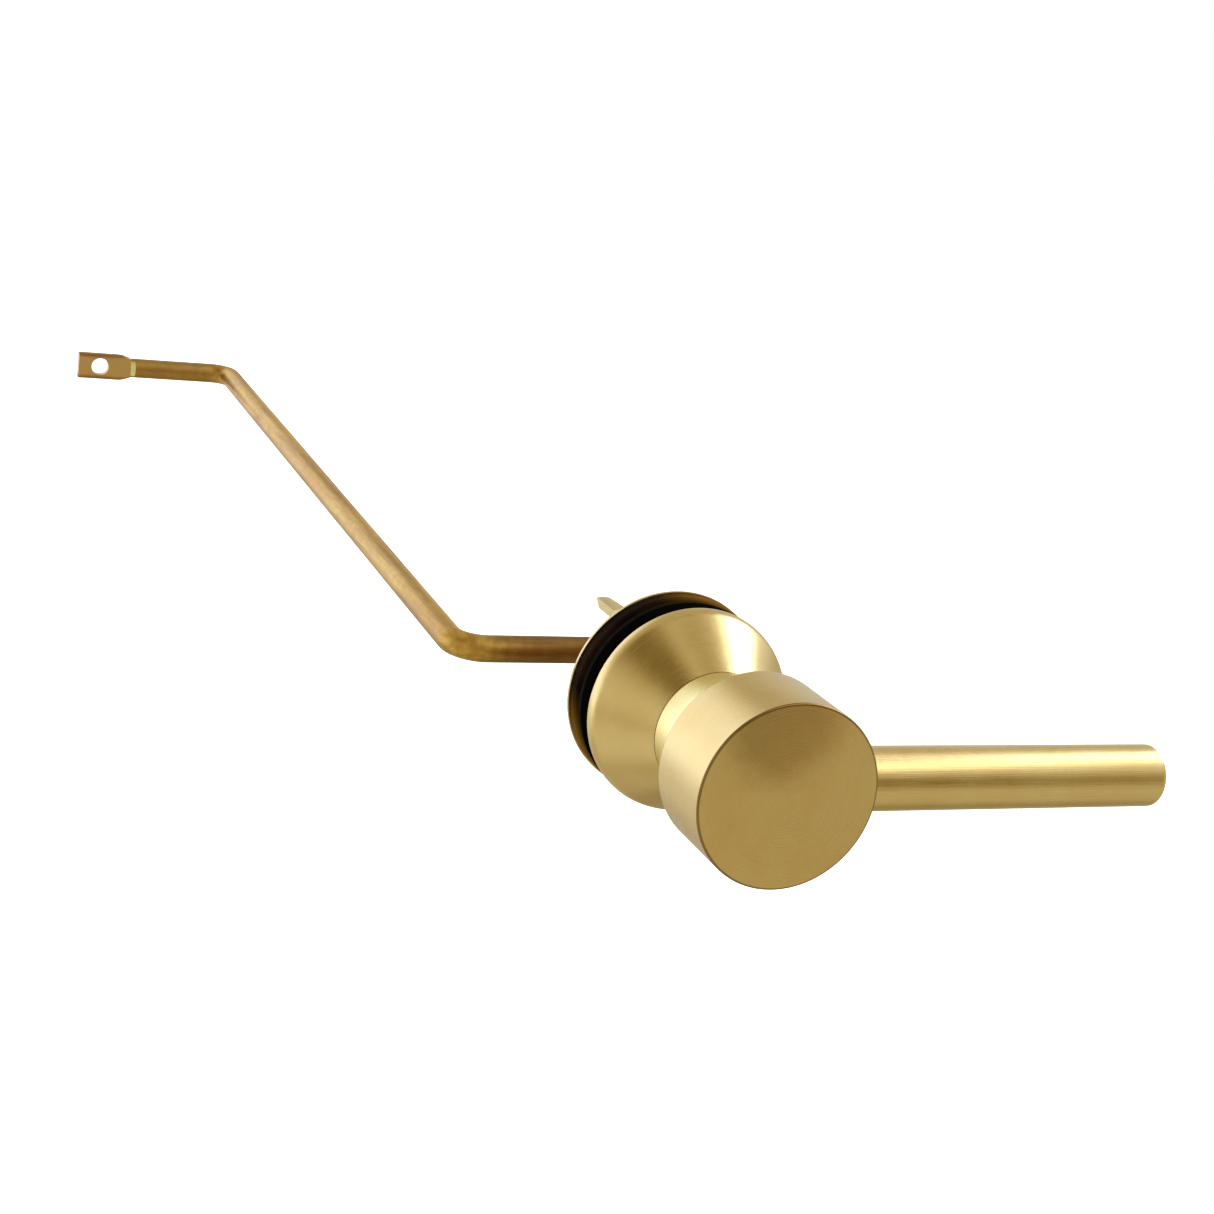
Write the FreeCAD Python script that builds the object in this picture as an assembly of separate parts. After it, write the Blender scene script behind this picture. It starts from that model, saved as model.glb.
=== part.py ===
import FreeCAD, Part

import math
import os

from FreeCAD import Vector

# Side-mount toilet tank lever, in millimetres.
# Origin: on the spindle axis, in the plane of the escutcheon's rim, which meets the tank's outer face.
# +Y runs along the spindle into the tank, +X runs along the handle, +Z is up.

# ---- driving dimensions ----
HUB_RADIUS = 19.05
HUB_FRONT_Y = -49.5
HUB_LENGTH = 18.8
NECK_RADIUS = 13.2
ESCUTCHEON_FRONT_Y = -14.6
RIM_RADIUS = 22.3
RIM_FRONT_Y = -2.2
RIM_FILLET = 4.5
RIM_BACK_FILLET = 0.5
LEVER_RADIUS = 6.5
LEVER_TIP_X = 89.7
ROD_RADIUS = 3.05
SHANK_RADIUS = 8.85
SHANK_BORE_RADIUS = 6.8
THREAD_PITCH = 1.5
GASKET_RADIUS = 22.1
WASHER_RADIUS = 22.4
ARM_START_Y = 38.3
ARM_OFFSET_X = -38.3
ARM_END_Y = 296.3
ARM_RISE = 9.1
CHAIN_HOLE_X = -79.8
CHAIN_HOLE_RADIUS = 2.7

# ---- clearances ----
RUNNING_GAP = 0.05
FACE_GAP = 0.05
TURNING_GAP = 0.3
CUT_OVERRUN = 1.0
POCKET_GAP = 0.4

# ---- hub and its pockets ----
HUB_REAR_Y = HUB_FRONT_Y + HUB_LENGTH
NECK_REAR_Y = ESCUTCHEON_FRONT_Y - TURNING_GAP
HUB_EDGE_FILLET = 0.45
NECK_ROOT_FILLET = 0.8
HUB_POCKET_RADIUS = SHANK_RADIUS + POCKET_GAP
HUB_POCKET_DEPTH = 4.7
SPINDLE_FRONT_Y = HUB_REAR_Y - 2.8
SET_SCREW_RADIUS = 2.5
SET_SCREW_Y = -25.3
SET_SCREW_LENGTH = 8.5
SET_SCREW_KEY_ACROSS_FLATS = 2.5
SET_SCREW_KEY_DEPTH = 3.0

# ---- handle ----
LEVER_Y = HUB_FRONT_Y + HUB_LENGTH / 2
LEVER_ROOT_X = HUB_RADIUS - 2.6
LEVER_WALL = 1.5
LEVER_TIP_FILLET = 1.3
STUD_RADIUS = 3.0
STUD_INNER_X = 4.5
STUD_OUTER_X = 31.0
STUD_CHAMFER = 0.5
STUD_END_SPACE = 3.0
INSERT_LENGTH = 16.0
END_PLUG_LENGTH = 7.0

# ---- shank ----
SHANK_NOSE_Y = ESCUTCHEON_FRONT_Y - 2.4
FLANGE_RADIUS = 11.0
FLANGE_LENGTH = 3.0
ESCUTCHEON_WALL = 2.4
ESCUTCHEON_LEDGE = 1.6
SQUARE_START_Y = -2.0
SQUARE_END_Y = 6.0
SQUARE_CORNER_RADIUS = 12.0
SQUARE_BITE = 1.0
THREAD_START_Y = 8.0
THREAD_DEPTH = 0.85
THREAD_CREST_END = 0.15 * THREAD_PITCH
THREAD_ROOT_START = 0.5 * THREAD_PITCH
THREAD_ROOT_END = 0.65 * THREAD_PITCH
NOTCH_FLOOR_Y = 34.4
CROWN_END_Y = 42.0
TONGUE_END_Y = 51.6
TONGUE_HALF_WIDTH = 1.5
TONGUE_UNDERCUT = 1.8
TONGUE_ROOT_X = 3.4
TONGUE_TIP_CHAMFER = 0.5

# ---- seals, washers and nut ----
PAD_RADIUS = 20.6
PAD_FRONT_Y = -2.5
PAD_REAR_Y = 3.2
PAD_POCKET_GAP = 0.3
PAD_EDGE_FILLET = 0.6
GASKET_FRONT_Y = 3.4
GASKET_REAR_Y = 10.5
SEAL_BORE_RADIUS = 12.7
# the gasket's ribbed edge: (depth below GASKET_RADIUS, distance from its front)
GASKET_EDGE = [(1.3, 0.0), (0.9, 0.5), (0.2, 1.1), (0.2, 2.3), (1.1, 2.9),
               (1.1, 3.5), (0.3, 4.0), (0.0, 4.5), (0.0, 6.7), (0.4, 7.1)]
CLAMP_WASHER_THICKNESS = 0.8
NUT_ACROSS_FLATS = 28.0
NUT_THICKNESS = 9.0
THRUST_WASHER_THICKNESS = 0.8
THRUST_WASHER_STEP = 0.3
SPRING_WASHER_THICKNESS = 0.4
SPRING_WASHER_SAG = 1.1
SPRING_WASHER_RADIUS = SHANK_RADIUS - 0.4
SPRING_WASHER_BORE_RADIUS = ROD_RADIUS + 0.2
O_RING_SECTION_RADIUS = 1.75
O_RING_Y = 7.0
RING_SEAT_GAP = 0.02
FRONT_BUSHING_LENGTH = 13.0
REAR_BUSHING_START_Y = 18.0
REAR_BUSHING_END_Y = 28.4
CLIP_WASHER_THICKNESS = 0.8
CLIP_WASHER_RADIUS = SHANK_BORE_RADIUS - 0.35
CLIP_WASHER_BORE_RADIUS = ROD_RADIUS + 0.1
CLIP_THICKNESS = 0.8
CLIP_RADIUS = 6.2
CLIP_GROOVE_DEPTH = 0.65
CLIP_MOUTH_SHARE = 0.85
CLIP_RELIEF_RADIUS = 0.9
CLIP_RELIEF_ANGLE = 62.0
CLIP_RELIEF_OFFSET = 0.5

# ---- arm ----
SPINDLE_BEND_RADIUS = 7.0
ARM_BEND_RADIUS = 7.0
END_BEND_RADIUS = 6.0
TAB_HEIGHT = 8.0
TAB_THICKNESS = 3.0
TAB_TIP_X = -86.5
TAB_SHOULDER_X = -70.2
TAB_NECK_LENGTH = 1.4
TAB_EDGE_FILLET = 0.4
TAB_SHOULDER_LENGTH = 2.8
TAB_SHOULDER_FILLET = 6.0
NECK_FLAT_HALF_HEIGHT = 2.2


def cylinder_y(radius, start, end, x=0.0, z=0.0):
    """A round bar along Y."""
    return Part.makeCylinder(radius, end - start, Vector(x, start, z), Vector(0, 1, 0))


def cylinder_x(radius, start, end, y=0.0, z=0.0):
    """A round bar along X."""
    return Part.makeCylinder(radius, end - start, Vector(start, y, z), Vector(1, 0, 0))


def ring_y(outer, inner, start, end):
    """A plain washer about the spindle axis."""
    return cylinder_y(outer, start, end).cut(cylinder_y(inner, start - CUT_OVERRUN, end + CUT_OVERRUN))


def turned(profile):
    """A closed outline of (radius, y) points, turned about the spindle axis."""
    points = [Vector(radius, y, 0) for radius, y in profile]
    wire = Part.makePolygon(points + points[:1])
    return Part.Face(wire).revolve(Vector(0, 0, 0), Vector(0, 1, 0), 360)


def box(x_range, y_range, z_range):
    """A block between two limits on each axis."""
    size = [high - low for low, high in (x_range, y_range, z_range)]
    return Part.makeBox(size[0], size[1], size[2], Vector(x_range[0], y_range[0], z_range[0]))


def fillet_circles(shape, radius, circles):
    """Round the circular edges that have one of the given (radius, y) pairs."""
    chosen = []
    for edge in shape.Edges:
        curve = edge.Curve
        if not isinstance(curve, Part.Circle):
            continue
        for circle_radius, y in circles:
            if abs(curve.Radius - circle_radius) < 1e-3 and abs(curve.Center.y - y) < 1e-3:
                chosen.append(edge)
    return shape.makeFillet(radius, chosen)


def hexagon_prism(across_flats, start, end):
    """A six-sided bar along Y."""
    corner = across_flats / math.sqrt(3)
    angles = [math.radians(60 * side) for side in range(6)]
    points = [Vector(corner * math.cos(angle), start, corner * math.sin(angle)) for angle in angles]
    face = Part.Face(Part.makePolygon(points + points[:1]))
    return face.extrude(Vector(0, end - start, 0))


def bent_path(points, radii):
    """A wire of straight runs, with an arc of the given radius at each inner point."""
    edges = []
    last = points[0]
    for corner, before, after, radius in zip(points[1:-1], points[:-2], points[2:], radii):
        way_in = (corner - before).normalize()
        way_out = (after - corner).normalize()
        half_turn = way_in.getAngle(way_out) / 2
        setback = radius * math.tan(half_turn)
        start = corner - way_in * setback
        end = corner + way_out * setback
        bisector = (way_out - way_in).normalize()
        centre = corner + bisector * (radius / math.cos(half_turn))
        edges.append(Part.LineSegment(last, start).toShape())
        edges.append(Part.Arc(start, centre - bisector * radius, end).toShape())
        last = end
    edges.append(Part.LineSegment(last, points[-1]).toShape())
    return Part.Wire(edges)


# ---- pieces fixed to the tank ----

def make_escutcheon():
    """The turned cone that covers the tank's hole, hollow behind, with a rounded rim."""
    inner_front = ESCUTCHEON_FRONT_Y + ESCUTCHEON_WALL
    pocket_radius = PAD_RADIUS + PAD_POCKET_GAP
    cone = turned([
        (SHANK_RADIUS, ESCUTCHEON_FRONT_Y),
        (NECK_RADIUS, ESCUTCHEON_FRONT_Y),
        (RIM_RADIUS, RIM_FRONT_Y),
        (RIM_RADIUS, 0.0),
        (pocket_radius, 0.0),
        (pocket_radius, PAD_FRONT_Y),
        (pocket_radius - ESCUTCHEON_LEDGE, PAD_FRONT_Y),
        (FLANGE_RADIUS + POCKET_GAP, inner_front),
        (SHANK_RADIUS, inner_front),
    ])
    cone = fillet_circles(cone, RIM_FILLET, [(RIM_RADIUS, RIM_FRONT_Y)])
    return fillet_circles(cone, RIM_BACK_FILLET, [(RIM_RADIUS, 0.0)])


def shank_outline():
    """The shank's turned outline: nose, flange, plain root and threaded barrel."""
    flange_front = ESCUTCHEON_FRONT_Y + ESCUTCHEON_WALL
    outline = [
        (SHANK_BORE_RADIUS, SHANK_NOSE_Y),
        (SHANK_RADIUS, SHANK_NOSE_Y),
        (SHANK_RADIUS, flange_front),
        (FLANGE_RADIUS, flange_front),
        (FLANGE_RADIUS, flange_front + FLANGE_LENGTH),
        (SHANK_RADIUS, flange_front + FLANGE_LENGTH),
        (SHANK_RADIUS, THREAD_START_Y),
    ]
    turns = int((CROWN_END_Y - THREAD_START_Y) / THREAD_PITCH)
    for turn in range(turns):
        start = THREAD_START_Y + turn * THREAD_PITCH
        outline.append((SHANK_RADIUS, start + THREAD_CREST_END))
        outline.append((SHANK_RADIUS - THREAD_DEPTH, start + THREAD_ROOT_START))
        outline.append((SHANK_RADIUS - THREAD_DEPTH, start + THREAD_ROOT_END))
        outline.append((SHANK_RADIUS, start + THREAD_PITCH))
    outline.append((SHANK_RADIUS, CROWN_END_Y))
    outline.append((SHANK_BORE_RADIUS, CROWN_END_Y))
    return outline


def make_mounting_shank():
    """The threaded tube through the tank wall, notched for the arm, with a stop tongue on top."""
    barrel = turned(shank_outline())
    half_square = SHANK_RADIUS
    square = box((-half_square, half_square), (SQUARE_START_Y, SQUARE_END_Y), (-half_square, half_square))
    square = square.common(cylinder_y(SQUARE_CORNER_RADIUS, SQUARE_START_Y, SQUARE_END_Y))
    core = cylinder_y(SHANK_RADIUS - SQUARE_BITE, SQUARE_START_Y - CUT_OVERRUN, SQUARE_END_Y + CUT_OVERRUN)
    square = square.cut(core)
    barrel = barrel.fuse(square)

    far = 2 * SHANK_RADIUS
    under_arm = -ROD_RADIUS - RUNNING_GAP
    notch = box((-far, -TONGUE_HALF_WIDTH), (NOTCH_FLOOR_Y, CROWN_END_Y + CUT_OVERRUN), (under_arm, far))
    barrel = barrel.cut(notch)

    root_y = CROWN_END_Y - CUT_OVERRUN
    above = SHANK_RADIUS + CUT_OVERRUN
    tongue_tube = ring_y(SHANK_RADIUS, SHANK_BORE_RADIUS, root_y, TONGUE_END_Y)
    side_view = [
        Vector(-TONGUE_HALF_WIDTH, root_y, 0),
        Vector(-TONGUE_HALF_WIDTH, TONGUE_END_Y - TONGUE_UNDERCUT, 0),
        Vector(-TONGUE_HALF_WIDTH, TONGUE_END_Y - TONGUE_UNDERCUT, SHANK_BORE_RADIUS),
        Vector(-TONGUE_HALF_WIDTH, TONGUE_END_Y, SHANK_RADIUS - TONGUE_TIP_CHAMFER),
        Vector(-TONGUE_HALF_WIDTH, TONGUE_END_Y - TONGUE_TIP_CHAMFER, SHANK_RADIUS),
        Vector(-TONGUE_HALF_WIDTH, TONGUE_END_Y - TONGUE_TIP_CHAMFER, above),
        Vector(-TONGUE_HALF_WIDTH, root_y, above),
    ]
    tongue_slab = Part.Face(Part.makePolygon(side_view + side_view[:1])).extrude(Vector(far, 0, 0))
    top_view = [
        Vector(-TONGUE_HALF_WIDTH, root_y, 0),
        Vector(-TONGUE_HALF_WIDTH, TONGUE_END_Y, 0),
        Vector(TONGUE_HALF_WIDTH, TONGUE_END_Y, 0),
        Vector(TONGUE_ROOT_X, CROWN_END_Y, 0),
        Vector(TONGUE_ROOT_X, root_y, 0),
    ]
    tongue_plan = Part.Face(Part.makePolygon(top_view + top_view[:1])).extrude(Vector(0, 0, far))
    tongue = tongue_tube.common(tongue_slab).common(tongue_plan)
    return barrel.fuse(tongue).removeSplitter()


def make_front_bushing():
    """Nylon bush in the shank's nose that the spindle turns in."""
    start = SHANK_NOSE_Y
    outer = SHANK_BORE_RADIUS - FACE_GAP
    return ring_y(outer, ROD_RADIUS + RUNNING_GAP, start, start + FRONT_BUSHING_LENGTH)


def make_rear_bushing():
    """Nylon bush near the shank's inner end."""
    outer = SHANK_BORE_RADIUS - FACE_GAP
    return ring_y(outer, ROD_RADIUS + RUNNING_GAP, REAR_BUSHING_START_Y, REAR_BUSHING_END_Y)


def make_thrust_washer():
    """Slippery washer on the shank's nose that the hub's spring presses on."""
    outer = SHANK_RADIUS - THRUST_WASHER_STEP
    start = SHANK_NOSE_Y - THRUST_WASHER_THICKNESS
    return ring_y(outer, ROD_RADIUS + RUNNING_GAP, start, SHANK_NOSE_Y)


def make_wall_pad():
    """Rubber pad in the escutcheon's recess, which seals on the tank's outer face."""
    pad = ring_y(PAD_RADIUS, SEAL_BORE_RADIUS, PAD_FRONT_Y, PAD_REAR_Y)
    return fillet_circles(pad, PAD_EDGE_FILLET, [(PAD_RADIUS, PAD_REAR_Y)])


# ---- pieces that turn with the handle ----

def make_hub():
    """The round handle body and its neck, with pockets for the spindle, handle and set screw."""
    hub = turned([
        (0, HUB_FRONT_Y),
        (HUB_RADIUS, HUB_FRONT_Y),
        (HUB_RADIUS, HUB_REAR_Y),
        (NECK_RADIUS, HUB_REAR_Y),
        (NECK_RADIUS, NECK_REAR_Y),
        (0, NECK_REAR_Y),
    ])
    hub = fillet_circles(hub, HUB_EDGE_FILLET, [(HUB_RADIUS, HUB_FRONT_Y), (HUB_RADIUS, HUB_REAR_Y)])
    hub = fillet_circles(hub, NECK_ROOT_FILLET, [(NECK_RADIUS, HUB_REAR_Y)])
    pocket = cylinder_y(HUB_POCKET_RADIUS, NECK_REAR_Y - HUB_POCKET_DEPTH, NECK_REAR_Y + CUT_OVERRUN)
    spindle_bore = cylinder_y(ROD_RADIUS + FACE_GAP, SPINDLE_FRONT_Y - FACE_GAP, NECK_REAR_Y)
    lever_pocket = cylinder_x(
        LEVER_RADIUS + FACE_GAP, LEVER_ROOT_X - FACE_GAP, HUB_RADIUS + CUT_OVERRUN, LEVER_Y)
    stud_bore = cylinder_x(STUD_RADIUS + FACE_GAP, STUD_INNER_X - FACE_GAP, HUB_RADIUS, LEVER_Y)
    screw_bore = Part.makeCylinder(
        SET_SCREW_RADIUS + FACE_GAP, NECK_RADIUS + CUT_OVERRUN, Vector(0, SET_SCREW_Y, 0), Vector(0, 0, -1))
    for tool in (pocket, spindle_bore, lever_pocket, stud_bore, screw_bore):
        hub = hub.cut(tool)
    return hub


def make_lever_tube():
    """The handle's tube, with a rounded outer edge at the tip."""
    bore = LEVER_RADIUS - LEVER_WALL
    tube = cylinder_x(LEVER_RADIUS, LEVER_ROOT_X, LEVER_TIP_X, LEVER_Y)
    tip_edges = [edge for edge in tube.Edges
                 if isinstance(edge.Curve, Part.Circle) and abs(edge.Curve.Center.x - LEVER_TIP_X) < 1e-3]
    tube = tube.makeFillet(LEVER_TIP_FILLET, tip_edges)
    return tube.cut(cylinder_x(bore, LEVER_ROOT_X - CUT_OVERRUN, LEVER_TIP_X + CUT_OVERRUN, LEVER_Y))


def make_lever_insert():
    """The threaded insert pressed into the handle's root."""
    bore = LEVER_RADIUS - LEVER_WALL
    insert = cylinder_x(bore, LEVER_ROOT_X, LEVER_ROOT_X + INSERT_LENGTH, LEVER_Y)
    stud_hole = cylinder_x(
        STUD_RADIUS + FACE_GAP, LEVER_ROOT_X - CUT_OVERRUN, STUD_OUTER_X + STUD_END_SPACE, LEVER_Y)
    return insert.cut(stud_hole)


def make_lever_end_plug():
    """The disc that closes the handle's tip, flush with the tube."""
    bore = LEVER_RADIUS - LEVER_WALL
    return cylinder_x(bore, LEVER_TIP_X - END_PLUG_LENGTH, LEVER_TIP_X, LEVER_Y)


def make_lever_stud():
    """The screw that joins the handle to the hub."""
    stud = cylinder_x(STUD_RADIUS, STUD_INNER_X, STUD_OUTER_X, LEVER_Y)
    end_edges = [edge for edge in stud.Edges if isinstance(edge.Curve, Part.Circle)]
    return stud.makeChamfer(STUD_CHAMFER, end_edges)


def make_hub_set_screw():
    """The socket screw under the neck that grips the spindle."""
    top = -ROD_RADIUS
    foot = Vector(0, SET_SCREW_Y, top)
    screw = Part.makeCylinder(SET_SCREW_RADIUS, SET_SCREW_LENGTH, foot, Vector(0, 0, -1))
    key = hexagon_prism(SET_SCREW_KEY_ACROSS_FLATS, 0, SET_SCREW_KEY_DEPTH)
    key.rotate(Vector(0, 0, 0), Vector(1, 0, 0), 90)
    return screw.cut(key.translated(Vector(0, SET_SCREW_Y, top - SET_SCREW_LENGTH)))


def neck_section(x, corner_y, front_y):
    """A loop across the arm's end: front, top, back and bottom, arched or flat, about the rod's axis."""
    centre = Vector(x, ARM_END_Y, ARM_RISE)
    half_height = NECK_FLAT_HALF_HEIGHT
    corners = [
        (-corner_y, -half_height),
        (-corner_y, half_height),
        (corner_y, half_height),
        (corner_y, -half_height),
    ]
    middles = [(-front_y, 0), (0, ROD_RADIUS), (front_y, 0), (0, -ROD_RADIUS)]
    edges = []
    for index, middle in enumerate(middles):
        start = centre + Vector(0, *corners[index])
        end = centre + Vector(0, *corners[(index + 1) % 4])
        if abs(middle[0]) == corner_y:
            edges.append(Part.LineSegment(start, end).toShape())
        else:
            edges.append(Part.Arc(start, centre + Vector(0, *middle), end).toShape())
    return Part.Wire(edges)


def arm_tab():
    """The flattened, drilled end of the arm, with its short neck."""
    half_thickness = TAB_THICKNESS / 2
    slope_start = TAB_SHOULDER_X - TAB_SHOULDER_LENGTH
    outline = [
        (TAB_TIP_X, -TAB_HEIGHT / 2),
        (TAB_TIP_X, TAB_HEIGHT / 2),
        (slope_start, TAB_HEIGHT / 2),
        (TAB_SHOULDER_X, ROD_RADIUS),
        (TAB_SHOULDER_X, -ROD_RADIUS),
        (slope_start, -TAB_HEIGHT / 2),
    ]
    corners = [Vector(x, ARM_END_Y - half_thickness, ARM_RISE + z) for x, z in outline]
    plate = Part.Face(Part.makePolygon(corners + corners[:1])).extrude(Vector(0, TAB_THICKNESS, 0))
    shoulder_edges = [edge for edge in plate.Edges
                      if abs(edge.BoundBox.XMin - slope_start) < FACE_GAP and edge.BoundBox.XLength < FACE_GAP]
    plate = plate.makeFillet(TAB_SHOULDER_FILLET, shoulder_edges)
    outline_edges = [edge for edge in plate.Edges if edge.BoundBox.XLength > TAB_EDGE_FILLET]
    plate = plate.makeFillet(TAB_EDGE_FILLET, outline_edges)
    flat_end = neck_section(TAB_SHOULDER_X, half_thickness, half_thickness)
    corner_y = math.sqrt(ROD_RADIUS ** 2 - NECK_FLAT_HALF_HEIGHT ** 2)
    round_end = neck_section(TAB_SHOULDER_X + TAB_NECK_LENGTH, corner_y, ROD_RADIUS)
    neck = Part.makeLoft([flat_end, round_end], True, True)
    hole_start = ARM_END_Y - TAB_THICKNESS
    hole_end = ARM_END_Y + TAB_THICKNESS
    hole = cylinder_y(CHAIN_HOLE_RADIUS, hole_start, hole_end, CHAIN_HOLE_X, ARM_RISE)
    return plate.fuse(neck), hole


def make_arm_rod():
    """One bent brass rod: spindle, crank, long reach over the tank, and drilled tab."""
    tab, hole = arm_tab()
    points = [
        Vector(0, SPINDLE_FRONT_Y, 0),
        Vector(0, ARM_START_Y, 0),
        Vector(ARM_OFFSET_X, ARM_START_Y, 0),
        Vector(ARM_OFFSET_X, ARM_END_Y, ARM_RISE),
        Vector(TAB_SHOULDER_X + TAB_NECK_LENGTH, ARM_END_Y, ARM_RISE),
    ]
    path = bent_path(points, [SPINDLE_BEND_RADIUS, ARM_BEND_RADIUS, END_BEND_RADIUS])
    section = Part.Wire(Part.Circle(points[0], Vector(0, 1, 0), ROD_RADIUS).toShape())
    rod = path.makePipeShell([section], True, False)
    groove_start = REAR_BUSHING_END_Y + FACE_GAP + CLIP_WASHER_THICKNESS + FACE_GAP
    groove = ring_y(ROD_RADIUS + CUT_OVERRUN, ROD_RADIUS - CLIP_GROOVE_DEPTH,
                    groove_start, groove_start + CLIP_THICKNESS + FACE_GAP)
    return rod.cut(groove).fuse(tab).cut(hole).removeSplitter()


def make_spring_washer():
    """Curved washer between hub and shank that takes up end play."""
    half_width = SPRING_WASHER_RADIUS
    disc = ring_y(half_width, SPRING_WASHER_BORE_RADIUS, -half_width, half_width)
    bend_radius = (half_width ** 2 + SPRING_WASHER_SAG ** 2) / (2 * SPRING_WASHER_SAG)
    span = 2 * (half_width + CUT_OVERRUN)
    start = Vector(-span / 2, -bend_radius, 0)
    outer = Part.makeCylinder(bend_radius + SPRING_WASHER_THICKNESS, span, start, Vector(1, 0, 0))
    inner = Part.makeCylinder(bend_radius, span, start, Vector(1, 0, 0))
    washer = disc.common(outer.cut(inner))
    front = SHANK_NOSE_Y - THRUST_WASHER_THICKNESS - FACE_GAP - SPRING_WASHER_THICKNESS
    return washer.translated(Vector(0, front, 0))


def make_spindle_o_ring():
    """Seal on the spindle between the two bushes."""
    return Part.makeTorus(ROD_RADIUS + O_RING_SECTION_RADIUS + RING_SEAT_GAP, O_RING_SECTION_RADIUS,
                          Vector(0, O_RING_Y, 0), Vector(0, 1, 0))


def make_clip_washer():
    """Steel washer between the rear bush and the retaining clip."""
    start = REAR_BUSHING_END_Y + FACE_GAP
    return ring_y(CLIP_WASHER_RADIUS, CLIP_WASHER_BORE_RADIUS, start, start + CLIP_WASHER_THICKNESS)


def make_retaining_clip():
    """E-clip in the spindle's groove, open at the bottom."""
    start = REAR_BUSHING_END_Y + FACE_GAP + CLIP_WASHER_THICKNESS + FACE_GAP
    end = start + CLIP_THICKNESS
    inner = ROD_RADIUS - CLIP_GROOVE_DEPTH + RING_SEAT_GAP
    clip = ring_y(CLIP_RADIUS, inner, start, end)
    half_mouth = inner * CLIP_MOUTH_SHARE
    cut_range = (start - CUT_OVERRUN, end + CUT_OVERRUN)
    mouth = box((-half_mouth, half_mouth), cut_range, (-CLIP_RADIUS - CUT_OVERRUN, 0))
    clip = clip.cut(mouth)
    reach = inner + CLIP_RELIEF_OFFSET
    for side in (-1, 1):
        angle = math.radians(90 + side * CLIP_RELIEF_ANGLE)
        x = reach * math.cos(angle)
        z = reach * math.sin(angle)
        relief = cylinder_y(CLIP_RELIEF_RADIUS, *cut_range, x, z)
        clip = clip.cut(relief)
    return clip


# ---- clamping pieces inside the tank ----

def make_inner_gasket():
    """Ribbed rubber ring that the nut squeezes against the tank's inner face."""
    edge = [(GASKET_RADIUS - depth, GASKET_FRONT_Y + distance) for depth, distance in GASKET_EDGE]
    return turned([(SEAL_BORE_RADIUS, GASKET_FRONT_Y)] + edge + [(SEAL_BORE_RADIUS, GASKET_REAR_Y)])


def make_clamp_washer():
    """Thin brass washer that spreads the nut's load over the gasket."""
    start = GASKET_REAR_Y
    return ring_y(WASHER_RADIUS, SHANK_RADIUS + TURNING_GAP, start, start + CLAMP_WASHER_THICKNESS)


def make_lock_nut():
    """Hexagon nut on the shank, with chamfered corners."""
    start = GASKET_REAR_Y + CLAMP_WASHER_THICKNESS + FACE_GAP
    end = start + NUT_THICKNESS
    corner = NUT_ACROSS_FLATS / math.sqrt(3)
    chamfer = corner - NUT_ACROSS_FLATS / 2
    crown = turned([
        (0, start),
        (corner - chamfer, start),
        (corner, start + chamfer / 2),
        (corner, end - chamfer / 2),
        (corner - chamfer, end),
        (0, end),
    ])
    bore = cylinder_y(SHANK_RADIUS + RUNNING_GAP, start - CUT_OVERRUN, end + CUT_OVERRUN)
    return hexagon_prism(NUT_ACROSS_FLATS, start, end).common(crown).cut(bore)


PIECES = {
    "escutcheon": make_escutcheon,
    "mounting_shank": make_mounting_shank,
    "front_bushing": make_front_bushing,
    "rear_bushing": make_rear_bushing,
    "thrust_washer": make_thrust_washer,
    "wall_pad": make_wall_pad,
    "hub": make_hub,
    "lever_tube": make_lever_tube,
    "lever_insert": make_lever_insert,
    "lever_end_plug": make_lever_end_plug,
    "lever_stud": make_lever_stud,
    "hub_set_screw": make_hub_set_screw,
    "arm_rod": make_arm_rod,
    "spring_washer": make_spring_washer,
    "spindle_o_ring": make_spindle_o_ring,
    "clip_washer": make_clip_washer,
    "retaining_clip": make_retaining_clip,
    "inner_gasket": make_inner_gasket,
    "clamp_washer": make_clamp_washer,
    "lock_nut": make_lock_nut,
}

os.makedirs("parts", exist_ok=True)
for name, make in PIECES.items():
    shape = make()
    shape.exportStep(f"parts/{name}.step")
    print(f"{name}: valid {shape.isValid()}, solids {len(shape.Solids)}, volume {shape.Volume:.1f} mm3")
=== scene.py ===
import math

import bpy
from mathutils import Matrix, Vector


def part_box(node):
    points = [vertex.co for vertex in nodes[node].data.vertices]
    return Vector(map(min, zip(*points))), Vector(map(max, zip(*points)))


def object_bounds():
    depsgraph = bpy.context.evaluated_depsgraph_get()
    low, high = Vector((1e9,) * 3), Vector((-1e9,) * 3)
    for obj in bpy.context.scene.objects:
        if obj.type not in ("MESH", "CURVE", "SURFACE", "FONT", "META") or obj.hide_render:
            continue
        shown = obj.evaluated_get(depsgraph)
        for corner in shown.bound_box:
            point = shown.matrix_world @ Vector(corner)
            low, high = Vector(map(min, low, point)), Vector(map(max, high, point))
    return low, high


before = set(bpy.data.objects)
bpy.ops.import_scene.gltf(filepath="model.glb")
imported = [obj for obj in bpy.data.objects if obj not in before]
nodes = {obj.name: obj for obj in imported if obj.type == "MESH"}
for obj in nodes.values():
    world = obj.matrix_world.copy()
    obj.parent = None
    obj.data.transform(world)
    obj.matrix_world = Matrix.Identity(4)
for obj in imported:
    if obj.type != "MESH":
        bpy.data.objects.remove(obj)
cad_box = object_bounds()

MM = 0.001

# ---- camera, in the part's frame ----
CAMERA_PLACE = (-182.0 * MM, -368.7 * MM, 133.6 * MM)
CAMERA_AZIMUTH = math.radians(-23.58)
CAMERA_ELEVATION = math.radians(15.52)
CAMERA_ROLL = math.radians(8.01)
SENSOR_WIDTH = 36.0
LENS = 60.87

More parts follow.
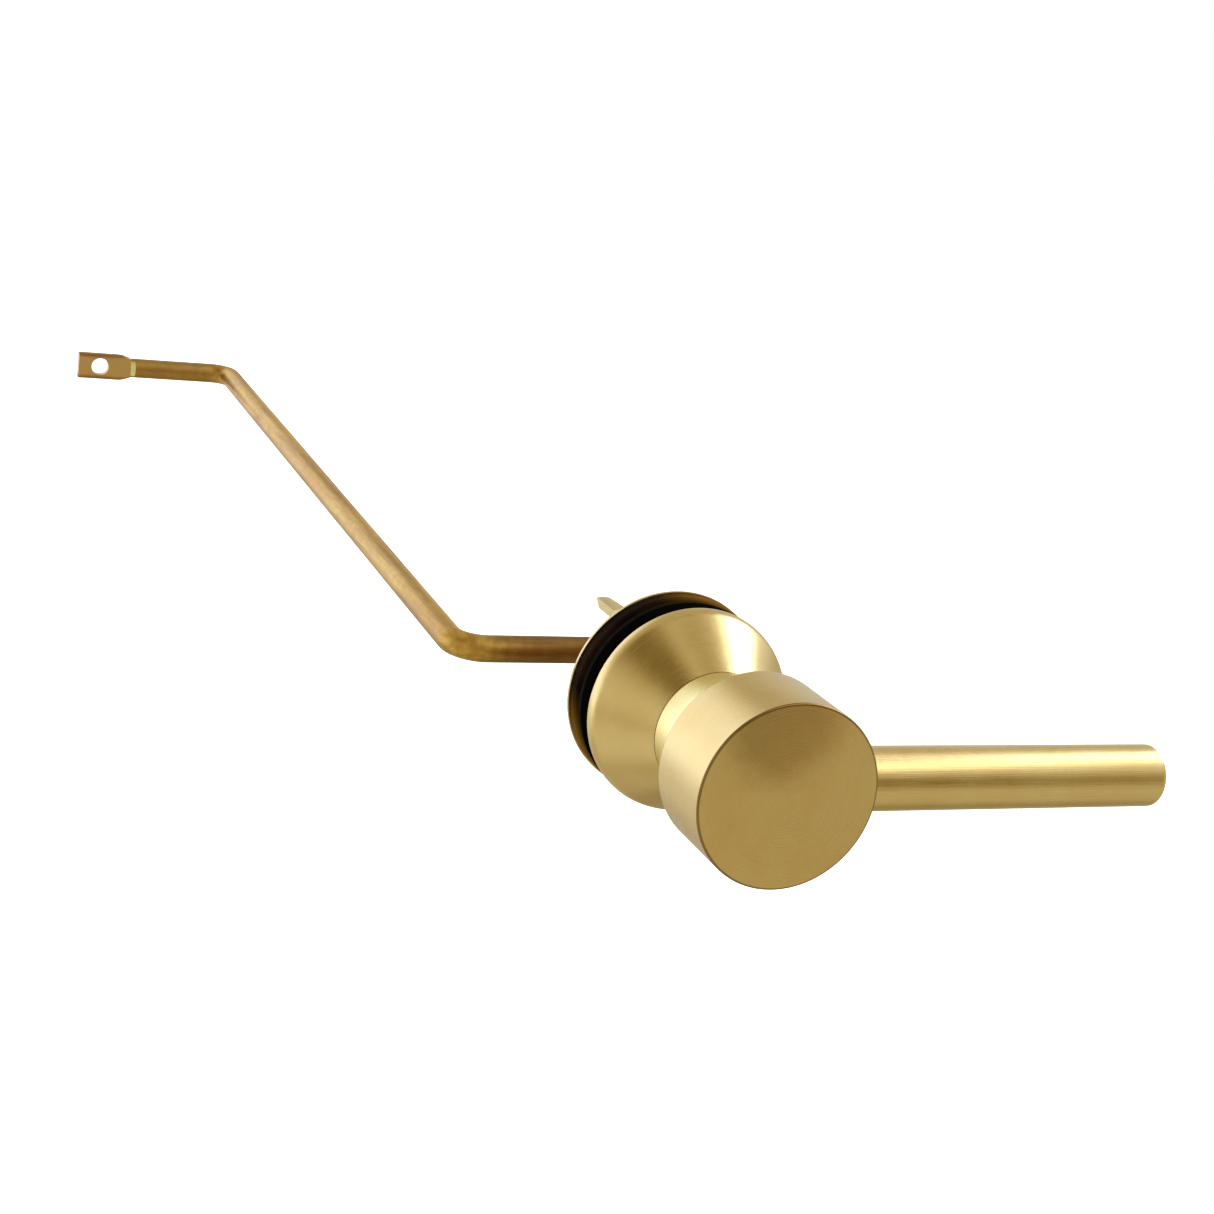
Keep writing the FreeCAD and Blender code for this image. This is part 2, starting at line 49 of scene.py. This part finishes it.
# ---- places on the pieces ----
hub_low, hub_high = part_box("hub")
arm_low, arm_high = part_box("arm_rod")
HUB_FACE_Y = hub_low.y
HUB_RADIUS = hub_high.x
NECK_RADIUS = 13.2 * MM
TAB_HALF_HEIGHT = 4.0 * MM
ARM_RISE = arm_high.z - TAB_HALF_HEIGHT
BEVEL_START_X = arm_low.x + 16.3 * MM
BEVEL_END_X = BEVEL_START_X + 1.4 * MM
BEVEL_HALF_HEIGHT = 2.2 * MM
GASKET_FRONT_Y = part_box("inner_gasket")[0].y
LEVER_TIP_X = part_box("lever_tube")[1].x

# ---- studio ----
FLOOR_DROP = 150 * MM
FLOOR_HALF_SIZE = 8.0
FLOOR_LIGHT = (0.93, 0.93, 0.93, 1.0)
FLOOR_DARK = (0.90, 0.90, 0.90, 1.0)
WHITE = (1.0, 1.0, 1.0, 1.0)
LAMP_TARGET = Vector((LEVER_TIP_X - 28.7 * MM, -40 * MM, 0.0))
LAMP_DIRECTION = Vector((0.36, -0.40, 0.85))
LAMP_DISTANCE = 170 * MM
LAMP_SIZE = (240 * MM, 65 * MM)
LAMP_POWER = 0.050
ROOM_LIGHT = 0.53
# direction, degrees at full strength, degrees at none, strength: pale panels, and flags that take light away
PANELS = [
    ((0.385, -0.318, 0.867), 6, 40, 0.35),
    ((-0.42, 0.87, 0.26), 4, 36, 0.72),
    ((-0.45, 0.85, -0.25), 4, 32, 0.25),
    ((0.385, 0.90, 0.10), 4, 24, 0.15),
    ((-0.78, 0.02, -0.62), 4, 28, 0.18),
    ((0.47, -0.82, -0.34), 10, 30, 0.035),
    ((-0.82, 0.50, -0.20), 4, 28, 0.36),
    ((-0.86, 0.42, 0.05), 4, 28, 0.60),
    ((0.77, 0.15, 0.62), 3, 18.5, 3.6),
    ((0.85, 0.26, 0.46), 6, 29, 0.42),
    ((-0.57, -0.20, 0.79), 9, 27, -0.30),
    ((0.22, -0.07, 0.97), 6, 20, -0.34),
    ((-0.97, -0.18, 0.06), 4, 24, 0.17),
    ((0.385, -0.92, 0.06), 4, 26, -0.34),
    ((0.385, 0.25, -0.888), 4, 30, -0.20),
]
# dim light is warm: green and blue are the light times share * min(light, limit) ** power
WARM_LIMIT = 1.2
GREEN_SHARE = 1.13
GREEN_POWER = 0.21
BLUE_SHARE = 1.43
BLUE_POWER = 0.83

# ---- marks on the hub: each pair of places is where the mark is absent and where it is full ----
RIM_LINE_RADIUS = (HUB_RADIUS - 0.6 * MM, HUB_RADIUS - 0.35 * MM)
RIM_LINE_Y = (HUB_FACE_Y + 0.45 * MM, HUB_FACE_Y + 0.3 * MM)
RIM_LINE_STRENGTH = 0.75
FACE_Y = (HUB_FACE_Y + 0.3 * MM, HUB_FACE_Y + 0.1 * MM)
# painted reflection: a dark patch painted on the hub's face, with its centre, its radii and its ragged edge
FACE_REFLECTION_X = -3.5 * MM
FACE_REFLECTION_Z = 14.5 * MM
FACE_REFLECTION_RADIUS = (18.5 * MM, 10 * MM)
FACE_REFLECTION_RAGGEDNESS = 7 * MM
FACE_REFLECTION_STRENGTH = 0.62
BLOTCH_SPAN = (0.48, 0.68)
BLOTCH_STRENGTH = (0.0, 0.32)
# painted glint: a brighter band painted on the hub's neck
NECK_GLINT_RADIUS = (NECK_RADIUS + 1.3 * MM, NECK_RADIUS + 0.4 * MM)
NECK_GLINT_Y = (HUB_FACE_Y + 15.5 * MM, HUB_FACE_Y + 17.5 * MM)

# ---- marks on the arm ----
STREAK_SPAN = (0.42, 0.62)
STREAK_STRENGTH = (0.0, 0.55)
SPECK_SPAN = (0.45, 0.65)
SPECK_STRENGTH = (0.0, 0.35)
STAIN_SPAN = (0.44, 0.6)
STAIN_STRENGTH = (0.0, 0.5)
# painted shade: the brown darkening on the crank and on the arm's far reach has a ragged edge, and the same
# raggedness wavers the tab's edge
SHADE_AND_TAB_EDGE_RAGGEDNESS = 12 * MM
CRANK_SHADE_X = (-42 * MM, -28 * MM)
CRANK_SHADE_Y = (52 * MM, 44 * MM)
CRANK_SHADE_STRENGTH = 0.85
# painted shade: the brown darkening on the arm's far reach
REACH_SHADE_X = (-33 * MM, -40 * MM)
REACH_SHADE_STRENGTH = 0.7
TAB_X = (BEVEL_START_X + 0.2 * MM, BEVEL_START_X)
TAB_FACE_STRENGTH = 0.75
TAB_EDGE_HEIGHT = (TAB_HALF_HEIGHT - 0.8 * MM, TAB_HALF_HEIGHT + 0.6 * MM)
TAB_EDGE_WAVER = 0.12
BEVEL_NEAR_TAB_X = (BEVEL_START_X, BEVEL_START_X + 0.2 * MM)
BEVEL_NEAR_ROD_X = (BEVEL_END_X + 0.1 * MM, BEVEL_END_X - 0.1 * MM)
BEVEL_HEIGHT = (BEVEL_HALF_HEIGHT + 0.3 * MM, BEVEL_HALF_HEIGHT)

# ---- painted light on the gasket: a painted amber sheen on two opposite sides, along this direction in X and Z, and painted shade towards the front ----
AMBER_SHEEN_X_SHARE = 0.62
AMBER_SHEEN_Z_SHARE = 0.78
AMBER_SHEEN_REACH = (12 * MM, 21 * MM)
AMBER_SHEEN_Y = (GASKET_FRONT_Y + 2.8 * MM, GASKET_FRONT_Y + 4.2 * MM)
AMBER_SHEEN_STRENGTH = 0.85
# painted shade: where the black on the gasket's front, behind the escutcheon rim, is full and where it ends
GASKET_SHADE_Y = (GASKET_FRONT_Y + 3.0 * MM, GASKET_FRONT_Y + 1.8 * MM)

# ---- grain: repeats per metre along three coordinates ----
TURNED_GRAIN = (9000.0, 9000.0, 900.0)
TURNED_ANGLE_WEIGHT = 0.004
HANDLE_GRAIN = (60.0, 5200.0, 5200.0)
ROD_GRAIN = (3500.0, 90.0, 3500.0)
STREAK_GRAIN = (520.0, 22.0, 520.0)
STAIN_GRAIN = (24.0, 420.0, 420.0)
GRAIN_DARKENING = (0.0, 0.22)

# ---- roughness, from a finish's smooth spots to its dull ones ----
GRAIN_UNEVENNESS = (-0.05, 0.05)
CLOUD_UNEVENNESS = (-0.03, 0.03)
RUBBER_ROUGHNESS = (0.58, 0.74)
NYLON_ROUGHNESS = (0.38, 0.52)
STEEL_ROUGHNESS = (0.22, 0.36)
FLOOR_ROUGHNESS = 0.8
RUBBER_GLOSS = 0.02
RUBBER_SHEEN_ROUGHNESS = 0.25
NYLON_WAXINESS = 0.1

# ---- the part of a noise's range that a remap spreads out ----
WIDE = (0.3, 0.7)
CORE = (0.35, 0.65)
FULL = (0.0, 1.0)


def srgb(red, green, blue):
    """A linear colour from 0 to 255 display values."""
    def linear(value):
        value = value / 255
        if value <= 0.04045:
            return value / 12.92
        return ((value + 0.055) / 1.055) ** 2.4
    return (linear(red), linear(green), linear(blue), 1.0)


# ---- colours ----
SATIN_LIGHT = srgb(236, 204, 134)
SATIN_DARK = srgb(226, 188, 112)
HANDLE_LIGHT = srgb(242, 210, 140)
HANDLE_DARK = srgb(232, 194, 118)
SHANK_LIGHT = srgb(240, 212, 140)
SHANK_DARK = srgb(214, 180, 104)
# painted reflection: the colour of the dark patch on the hub's face
FACE_PAINTED_REFLECTION = srgb(166, 126, 62)
FACE_BLOTCH = srgb(226, 172, 100)
RIM_LINE = srgb(120, 84, 34)
# painted glint: the colour of the bright band on the hub's neck
NECK_PAINTED_GLINT = srgb(253, 230, 152)
ARM_LIGHT = srgb(240, 196, 98)
ARM_DARK = srgb(212, 160, 66)
ARM_STREAK = srgb(168, 122, 56)
ARM_SPECK = srgb(180, 130, 60)
# painted shade: the brown on the crank
CRANK_PAINTED_SHADE = srgb(136, 94, 50)
CRANK_STAIN = srgb(98, 58, 20)
# painted shade: the brown on the arm's far reach
REACH_PAINTED_SHADE = srgb(176, 130, 68)
TAB_FACE = srgb(240, 196, 124)
TAB_EDGE = srgb(170, 116, 54)
# painted highlight: the bright strip on the arm's bevel
BEVEL_PAINTED_HIGHLIGHT = (1.0, 0.86, 0.36, 1.0)
PAD_DARK = srgb(6, 5, 3)
PAD_LIGHT = srgb(14, 9, 5)
GASKET_DARK = srgb(24, 13, 7)
GASKET_LIGHT = srgb(46, 28, 11)
# painted shade: the black on the gasket's front, behind the escutcheon rim
GASKET_PAINTED_SHADE = srgb(8, 9, 6)
# painted sheen: the amber on two opposite sides of the gasket
GASKET_PAINTED_SHEEN = srgb(136, 94, 20)
RUBBER_TINT = srgb(255, 190, 110)
RUBBER_BLOOM = srgb(224, 150, 40)
NYLON_DARK = srgb(226, 222, 208)
NYLON_LIGHT = srgb(238, 236, 226)
STEEL_DARK = srgb(150, 150, 148)
STEEL_LIGHT = srgb(196, 196, 192)


# ---- node building ----

class Graph:
    """Short calls for the nodes of one shader tree."""

    # a Mix node's colour sockets share their names with its number sockets, so they go by place
    MIX_FIRST = 6
    MIX_SECOND = 7
    MIX_RESULT = 2

    def __init__(self, tree):
        self.tree = tree
        tree.nodes.clear()

    def add(self, kind):
        return self.tree.nodes.new(kind)

    def feed(self, source, target):
        """Join an output to a socket, or set the socket to a constant."""
        if hasattr(source, "is_output"):
            self.tree.links.new(source, target)
        else:
            target.default_value = source

    def math(self, operation, *values):
        node = self.add("ShaderNodeMath")
        node.operation = operation
        for value, socket in zip(values, node.inputs):
            self.feed(value, socket)
        return node.outputs["Value"]

    def product(self, first, *others):
        for other in others:
            first = self.math("MULTIPLY", first, other)
        return first

    def reach(self, across, along):
        """The length of a flat vector."""
        return self.math("SQRT", self.math("ADD", self.product(across, across), self.product(along, along)))

    def remap(self, value, span, result, interpolation="LINEAR"):
        node = self.add("ShaderNodeMapRange")
        node.interpolation_type = interpolation
        self.feed(value, node.inputs["Value"])
        for name, number in zip(("From Min", "From Max", "To Min", "To Max"), (*span, *result)):
            node.inputs[name].default_value = number
        return node.outputs["Result"]

    def soft_step(self, value, none_and_full, top=1.0):
        """0 at the pair's first place, top at its second, and smooth between."""
        none, full = none_and_full
        result = (0.0, top) if none < full else (top, 0.0)
        return self.remap(value, sorted(none_and_full), result, "SMOOTHSTEP")

    def mix(self, factor, first, second):
        node = self.add("ShaderNodeMix")
        node.data_type = "RGBA"
        self.feed(factor, node.inputs["Factor"])
        self.feed(first, node.inputs[self.MIX_FIRST])
        self.feed(second, node.inputs[self.MIX_SECOND])
        return node.outputs[self.MIX_RESULT]

    def split(self, vector):
        node = self.add("ShaderNodeSeparateXYZ")
        self.feed(vector, node.inputs["Vector"])
        return node.outputs

    def combine(self, kind, *values):
        node = self.add(kind)
        for value, socket in zip(values, node.inputs):
            self.feed(value, socket)
        return node.outputs[0]


class Finish(Graph):
    """A material's tree: its Principled shader, and the textures that go into it."""

    def __init__(self, name):
        self.material = bpy.data.materials.new(name)
        self.material.use_nodes = True
        super().__init__(self.material.node_tree)
        self.shader = self.add("ShaderNodeBsdfPrincipled")
        self.feed(self.shader.outputs["BSDF"], self.add("ShaderNodeOutputMaterial").inputs["Surface"])
        self.place = self.add("ShaderNodeTexCoord").outputs["Object"]

    def set(self, name, value):
        self.feed(value, self.shader.inputs[name])

    def stretched(self, factors, source=None):
        """A piece's own coordinates, or the given ones, times a factor on each axis."""
        mapping = self.add("ShaderNodeMapping")
        self.feed(source or self.place, mapping.inputs["Vector"])
        mapping.inputs["Scale"].default_value = factors
        return mapping.outputs["Vector"]

    def noise(self, source, scale=1.0, detail=4.0, roughness=0.6):
        node = self.add("ShaderNodeTexNoise")
        self.feed(source, node.inputs["Vector"])
        node.inputs["Scale"].default_value = scale
        node.inputs["Detail"].default_value = detail
        node.inputs["Roughness"].default_value = roughness
        return node.outputs["Fac"]

    def set_bump(self, height, distance):
        node = self.add("ShaderNodeBump")
        node.inputs["Distance"].default_value = distance
        self.feed(height, node.inputs["Height"])
        self.set("Normal", node.outputs["Normal"])

    def axis_distance(self):
        """Distance from the spindle's axis."""
        x, _, z = self.split(self.place)
        return self.reach(x, z)


# ---- grain directions ----

def turned(graph):
    """Rings around the spindle's axis, as a lathe leaves them."""
    x, y, z = graph.split(graph.place)
    angle = graph.product(graph.math("ARCTAN2", z, x), TURNED_ANGLE_WEIGHT)
    lathe_place = graph.combine("ShaderNodeCombineXYZ", graph.axis_distance(), y, angle)
    return graph.stretched(TURNED_GRAIN, lathe_place)


def along_handle(graph):
    return graph.stretched(HANDLE_GRAIN)


def along_rod(graph):
    return graph.stretched(ROD_GRAIN)


# ---- marks on single pieces ----

def hub_detail(graph, colour):
    """A painted dark reflection patch and warm blotches on the face, a dark line at its edge, and a painted
    glint on the neck.
    """
    x, y, z = graph.split(graph.place)
    radius = graph.axis_distance()
    on_face = graph.soft_step(y, FACE_Y)

    # painted reflection: a dark patch painted on the face
    from_face_reflection = graph.reach(graph.math("SUBTRACT", x, FACE_REFLECTION_X), graph.math("SUBTRACT", z, FACE_REFLECTION_Z))
    ragged = graph.product(graph.noise(graph.place, scale=130.0), FACE_REFLECTION_RAGGEDNESS)
    face_reflection = graph.soft_step(graph.math("ADD", from_face_reflection, ragged), FACE_REFLECTION_RADIUS)
    colour = graph.mix(graph.product(face_reflection, on_face, FACE_REFLECTION_STRENGTH), colour, FACE_PAINTED_REFLECTION)

    blotches = graph.remap(graph.noise(graph.place, scale=75.0), BLOTCH_SPAN, BLOTCH_STRENGTH)
    colour = graph.mix(graph.product(blotches, on_face), colour, FACE_BLOTCH)

    rim = graph.product(graph.soft_step(radius, RIM_LINE_RADIUS), graph.soft_step(y, RIM_LINE_Y))
    colour = graph.mix(graph.product(rim, RIM_LINE_STRENGTH), colour, RIM_LINE)

    # painted glint: a brighter band painted on the neck
    neck = graph.product(graph.soft_step(radius, NECK_GLINT_RADIUS), graph.soft_step(y, NECK_GLINT_Y))
    return graph.mix(neck, colour, NECK_PAINTED_GLINT)


def arm_detail(graph, colour):
    """Streaks and specks, brown darkening on the crank and on the far reach that is painted shade, a
    flattened end with rubbed edges, and a painted highlight on the bevel before it.
    """
    x, y, z = graph.split(graph.place)
    ragged = graph.product(graph.noise(graph.place, scale=60.0), SHADE_AND_TAB_EDGE_RAGGEDNESS)

    streaks = graph.noise(graph.stretched(STREAK_GRAIN), detail=3.0)
    colour = graph.mix(graph.remap(streaks, STREAK_SPAN, STREAK_STRENGTH), colour, ARM_STREAK)
    specks = graph.noise(graph.place, scale=520.0, roughness=0.65)
    colour = graph.mix(graph.remap(specks, SPECK_SPAN, SPECK_STRENGTH), colour, ARM_SPECK)

    # painted shade: brown darkening on the crank beside the spindle, where the stains below also lie
    beside_axis = graph.soft_step(graph.math("SUBTRACT", x, ragged), CRANK_SHADE_X)
    crank = graph.product(beside_axis, graph.soft_step(y, CRANK_SHADE_Y))
    colour = graph.mix(graph.product(crank, CRANK_SHADE_STRENGTH), colour, CRANK_PAINTED_SHADE)
    stains = graph.noise(graph.stretched(STAIN_GRAIN), detail=3.0)
    stained = graph.product(crank, graph.remap(stains, STAIN_SPAN, STAIN_STRENGTH))
    colour = graph.mix(stained, colour, CRANK_STAIN)
    # painted shade: brown darkening on the arm's far reach
    reach = graph.soft_step(graph.math("ADD", x, ragged), REACH_SHADE_X)
    colour = graph.mix(graph.product(reach, REACH_SHADE_STRENGTH), colour, REACH_PAINTED_SHADE)

    tab = graph.soft_step(x, TAB_X)
    colour = graph.mix(graph.product(tab, TAB_FACE_STRENGTH), colour, TAB_FACE)
    height = graph.math("ABSOLUTE", graph.math("SUBTRACT", z, ARM_RISE))
    wavering = graph.math("ADD", height, graph.product(ragged, TAB_EDGE_WAVER))
    colour = graph.mix(graph.product(tab, graph.soft_step(wavering, TAB_EDGE_HEIGHT)), colour, TAB_EDGE)

    # painted highlight: a bright strip painted on the bevel between the rod and the tab
    beyond_rod = graph.soft_step(x, BEVEL_NEAR_ROD_X)
    before_tab = graph.soft_step(x, BEVEL_NEAR_TAB_X)
    bevel = graph.product(before_tab, beyond_rod, graph.soft_step(height, BEVEL_HEIGHT))
    return graph.mix(bevel, colour, BEVEL_PAINTED_HIGHLIGHT)


def gasket_detail(graph, colour):
    """Painted shade, black, towards the wall pad, and a painted amber sheen on two opposite sides of the
    outer ridge.
    """
    x, y, z = graph.split(graph.place)
    # painted sheen: amber painted on two opposite sides of the outer ridge
    along = graph.math("ADD", graph.product(x, AMBER_SHEEN_X_SHARE), graph.product(z, AMBER_SHEEN_Z_SHARE))
    sheen_side = graph.soft_step(graph.math("ABSOLUTE", along), AMBER_SHEEN_REACH)
    amber = graph.product(sheen_side, graph.soft_step(y, AMBER_SHEEN_Y), AMBER_SHEEN_STRENGTH)
    colour = graph.mix(amber, colour, GASKET_PAINTED_SHEEN)
    # painted shade: black towards the front, in the gap behind the escutcheon rim
    return graph.mix(graph.soft_step(y, GASKET_SHADE_Y), colour, GASKET_PAINTED_SHADE)


# ---- finishes ----

def brass_finish(name, colours, grain, roughness, grain_depth, detail=None):
    """Brass with fine grain, soft mottling and uneven roughness, and a piece's own marks."""
    light, dark = colours
    graph = Finish(name)
    marks = graph.noise(grain(graph), detail=3.0)
    clouds = graph.noise(graph.place, scale=90.0, detail=5.0)
    blotches = graph.noise(graph.place, scale=28.0, detail=3.0, roughness=0.5)
    shade = graph.product(graph.math("ADD", clouds, blotches), 0.5)
    colour = graph.mix(graph.remap(shade, CORE, FULL), dark, light)
    colour = graph.mix(graph.remap(marks, WIDE, GRAIN_DARKENING), colour, dark)
    if detail:
        colour = detail(graph, colour)
    grain_part = graph.remap(marks, WIDE, GRAIN_UNEVENNESS)
    cloud_part = graph.remap(clouds, WIDE, CLOUD_UNEVENNESS)
    graph.set("Base Color", colour)
    graph.set("Metallic", 1.0)
    graph.set("Roughness", graph.math("ADD", graph.math("ADD", grain_part, cloud_part), roughness))
    graph.set_bump(marks, grain_depth)
    return graph.material


def rubber_finish(name, colours, bloom, detail=None):
    """Near-black moulded rubber with a brown cast, a dull gloss and an amber bloom at its edges."""
    light, dark = colours
    graph = Finish(name)
    fine = graph.noise(graph.place, scale=1400.0)
    broad = graph.noise(graph.place, scale=120.0, detail=3.0, roughness=0.5)
    colour = graph.mix(graph.remap(broad, CORE, FULL), dark, light)
    if detail:
        colour = detail(graph, colour)
    graph.set("Base Color", colour)
    graph.set("Roughness", graph.remap(fine, WIDE, RUBBER_ROUGHNESS))
    graph.set("Specular IOR Level", RUBBER_GLOSS)
    graph.set("Specular Tint", RUBBER_TINT)
    graph.set("Sheen Weight", bloom)
    graph.set("Sheen Roughness", RUBBER_SHEEN_ROUGHNESS)
    graph.set("Sheen Tint", RUBBER_BLOOM)
    graph.set_bump(fine, 0.04 * MM)
    return graph.material


def nylon_finish():
    """Natural nylon, slightly waxy."""
    graph = Finish("natural_nylon")
    fine = graph.noise(graph.place, scale=900.0, roughness=0.55)
    graph.set("Base Color", graph.mix(graph.remap(fine, WIDE, FULL), NYLON_DARK, NYLON_LIGHT))
    graph.set("Roughness", graph.remap(fine, WIDE, NYLON_ROUGHNESS))
    graph.set("Subsurface Weight", NYLON_WAXINESS)
    graph.set_bump(fine, 0.02 * MM)
    return graph.material


def steel_finish():
    """Stainless steel with fine turning marks."""
    graph = Finish("stainless_steel")
    marks = graph.noise(turned(graph), detail=3.0)
    graph.set("Base Color", graph.mix(graph.remap(marks, WIDE, FULL), STEEL_DARK, STEEL_LIGHT))
    graph.set("Metallic", 1.0)
    graph.set("Roughness", graph.remap(marks, WIDE, STEEL_ROUGHNESS))
    graph.set_bump(marks, 0.02 * MM)
    return graph.material


def finish_pieces():
    """Give every CAD piece its finish."""
    satin = (SATIN_LIGHT, SATIN_DARK)
    handle = (HANDLE_LIGHT, HANDLE_DARK)
    arm = (ARM_LIGHT, ARM_DARK)
    shank = (SHANK_LIGHT, SHANK_DARK)
    turned_satin = brass_finish("satin_brass_turned", satin, turned, roughness=0.20, grain_depth=0.025 * MM)
    hub_satin = brass_finish("satin_brass_hub", satin, turned, roughness=0.25, grain_depth=0.018 * MM,
                             detail=hub_detail)
    lever_satin = brass_finish("satin_brass_lever", handle, along_handle, roughness=0.27,
                               grain_depth=0.03 * MM)
    arm_brass = brass_finish("raw_brass_arm", arm, along_rod, roughness=0.42, grain_depth=0.04 * MM,
                             detail=arm_detail)
    shank_brass = brass_finish("turned_brass_shank", shank, turned, roughness=0.28, grain_depth=0.03 * MM)
    black_rubber = rubber_finish("black_rubber", (PAD_LIGHT, PAD_DARK), bloom=0.01)
    brown_rubber = rubber_finish("brown_rubber", (GASKET_LIGHT, GASKET_DARK), bloom=0.3, detail=gasket_detail)
    nylon = nylon_finish()
    steel = steel_finish()
    finishes = {
        "hub": hub_satin,
        "escutcheon": turned_satin,
        "lever_tube": lever_satin,
        "lever_end_plug": lever_satin,
        "lever_insert": shank_brass,
        "arm_rod": arm_brass,
        "mounting_shank": shank_brass,
        "clamp_washer": shank_brass,
        "lock_nut": shank_brass,
        "wall_pad": black_rubber,
        "inner_gasket": brown_rubber,
        "spindle_o_ring": black_rubber,
        "front_bushing": nylon,
        "rear_bushing": nylon,
        "thrust_washer": nylon,
        "lever_stud": steel,
        "hub_set_screw": steel,
        "spring_washer": steel,
        "clip_washer": steel,
        "retaining_clip": steel,
    }
    for node, finish in finishes.items():
        materials = nodes[node].data.materials
        materials.clear()
        materials.append(finish)


# ---- stage ----

def link_new(name, data):
    """A new object in the scene."""
    obj = bpy.data.objects.new(name, data)
    bpy.context.scene.collection.objects.link(obj)
    return obj


def make_floor():
    """A plain pale floor under the part, which the brass doesn't mirror and which is clear from below."""
    height = cad_box[0].z - FLOOR_DROP
    edge = FLOOR_HALF_SIZE
    corners = [(-edge, -edge, height), (edge, -edge, height), (edge, edge, height), (-edge, edge, height)]
    mesh = bpy.data.meshes.new("floor")
    mesh.from_pydata(corners, [], [(0, 1, 2, 3)])
    floor = link_new("floor", mesh)
    graph = Finish("pale_floor")
    grain = graph.noise(graph.place, scale=40.0, detail=3.0, roughness=0.5)
    below = graph.add("ShaderNodeNewGeometry").outputs["Backfacing"]
    graph.set("Base Color", graph.mix(grain, FLOOR_DARK, FLOOR_LIGHT))
    graph.set("Roughness", FLOOR_ROUGHNESS)
    graph.set("Emission Color", WHITE)
    graph.set("Emission Strength", 1.0)
    graph.set("Alpha", graph.math("SUBTRACT", 1.0, below))
    mesh.materials.append(graph.material)
    floor.visible_glossy = False
    floor.visible_diffuse = False


def make_lamp():
    """A soft rectangular lamp over the handle."""
    data = bpy.data.lights.new("lever_lamp", "AREA")
    data.shape = "RECTANGLE"
    data.size, data.size_y = LAMP_SIZE
    data.energy = LAMP_POWER
    lamp = link_new("lever_lamp", data)
    away = LAMP_DIRECTION.normalized()
    turn = (-away).to_track_quat("-Z", "Y").to_matrix().to_4x4()
    lamp.matrix_world = Matrix.Translation(LAMP_TARGET + away * LAMP_DISTANCE) @ turn
    lamp.visible_camera = False


def make_room():
    """Even light with soft panels and flags around the part, on a white background."""
    world = bpy.data.worlds.new("studio")
    bpy.context.scene.world = world
    world.use_nodes = True
    graph = Graph(world.node_tree)
    direction = graph.add("ShaderNodeTexCoord").outputs["Generated"]

    light = ROOM_LIGHT
    for towards, full, none, strength in PANELS:
        facing = graph.add("ShaderNodeVectorMath")
        facing.operation = "DOT_PRODUCT"
        graph.feed(direction, facing.inputs[0])
        graph.feed(Vector(towards).normalized(), facing.inputs[1])
        edges = [math.cos(math.radians(angle)) for angle in (none, full)]
        light = graph.math("ADD", light, graph.soft_step(facing.outputs["Value"], edges, strength))

    limited = graph.math("MINIMUM", light, WARM_LIMIT)
    green = graph.product(light, graph.product(graph.math("POWER", limited, GREEN_POWER), GREEN_SHARE))
    blue = graph.product(light, graph.product(graph.math("POWER", limited, BLUE_POWER), BLUE_SHARE))
    room = graph.add("ShaderNodeBackground")
    graph.feed(graph.combine("ShaderNodeCombineColor", light, green, blue), room.inputs["Color"])
    pale = graph.add("ShaderNodeBackground")
    graph.feed(WHITE, pale.inputs["Color"])
    in_view = graph.add("ShaderNodeLightPath").outputs["Is Camera Ray"]
    shaders = (room.outputs["Background"], pale.outputs["Background"])
    either = graph.combine("ShaderNodeMixShader", in_view, *shaders)
    graph.feed(either, graph.add("ShaderNodeOutputWorld").inputs["Surface"])


def make_camera():
    """The camera, at the photograph's viewing angle."""
    sin_az, cos_az = math.sin(CAMERA_AZIMUTH), math.cos(CAMERA_AZIMUTH)
    sin_el, cos_el = math.sin(CAMERA_ELEVATION), math.cos(CAMERA_ELEVATION)
    back = Vector((sin_az * cos_el, -cos_az * cos_el, sin_el))
    level = Vector((cos_az, sin_az, 0))
    rise = back.cross(level)
    right = level * math.cos(CAMERA_ROLL) + rise * math.sin(CAMERA_ROLL)
    up = rise * math.cos(CAMERA_ROLL) - level * math.sin(CAMERA_ROLL)
    data = bpy.data.cameras.new("camera")
    data.sensor_width = SENSOR_WIDTH
    data.lens = LENS
    camera = link_new("camera", data)
    turn = Matrix((right, up, back)).transposed().to_4x4()
    camera.matrix_world = Matrix.Translation(Vector(CAMERA_PLACE)) @ turn
    bpy.context.scene.camera = camera


bpy.context.scene.view_settings.view_transform = "Standard"
make_camera()
finish_pieces()
make_floor()
make_room()
make_lamp()
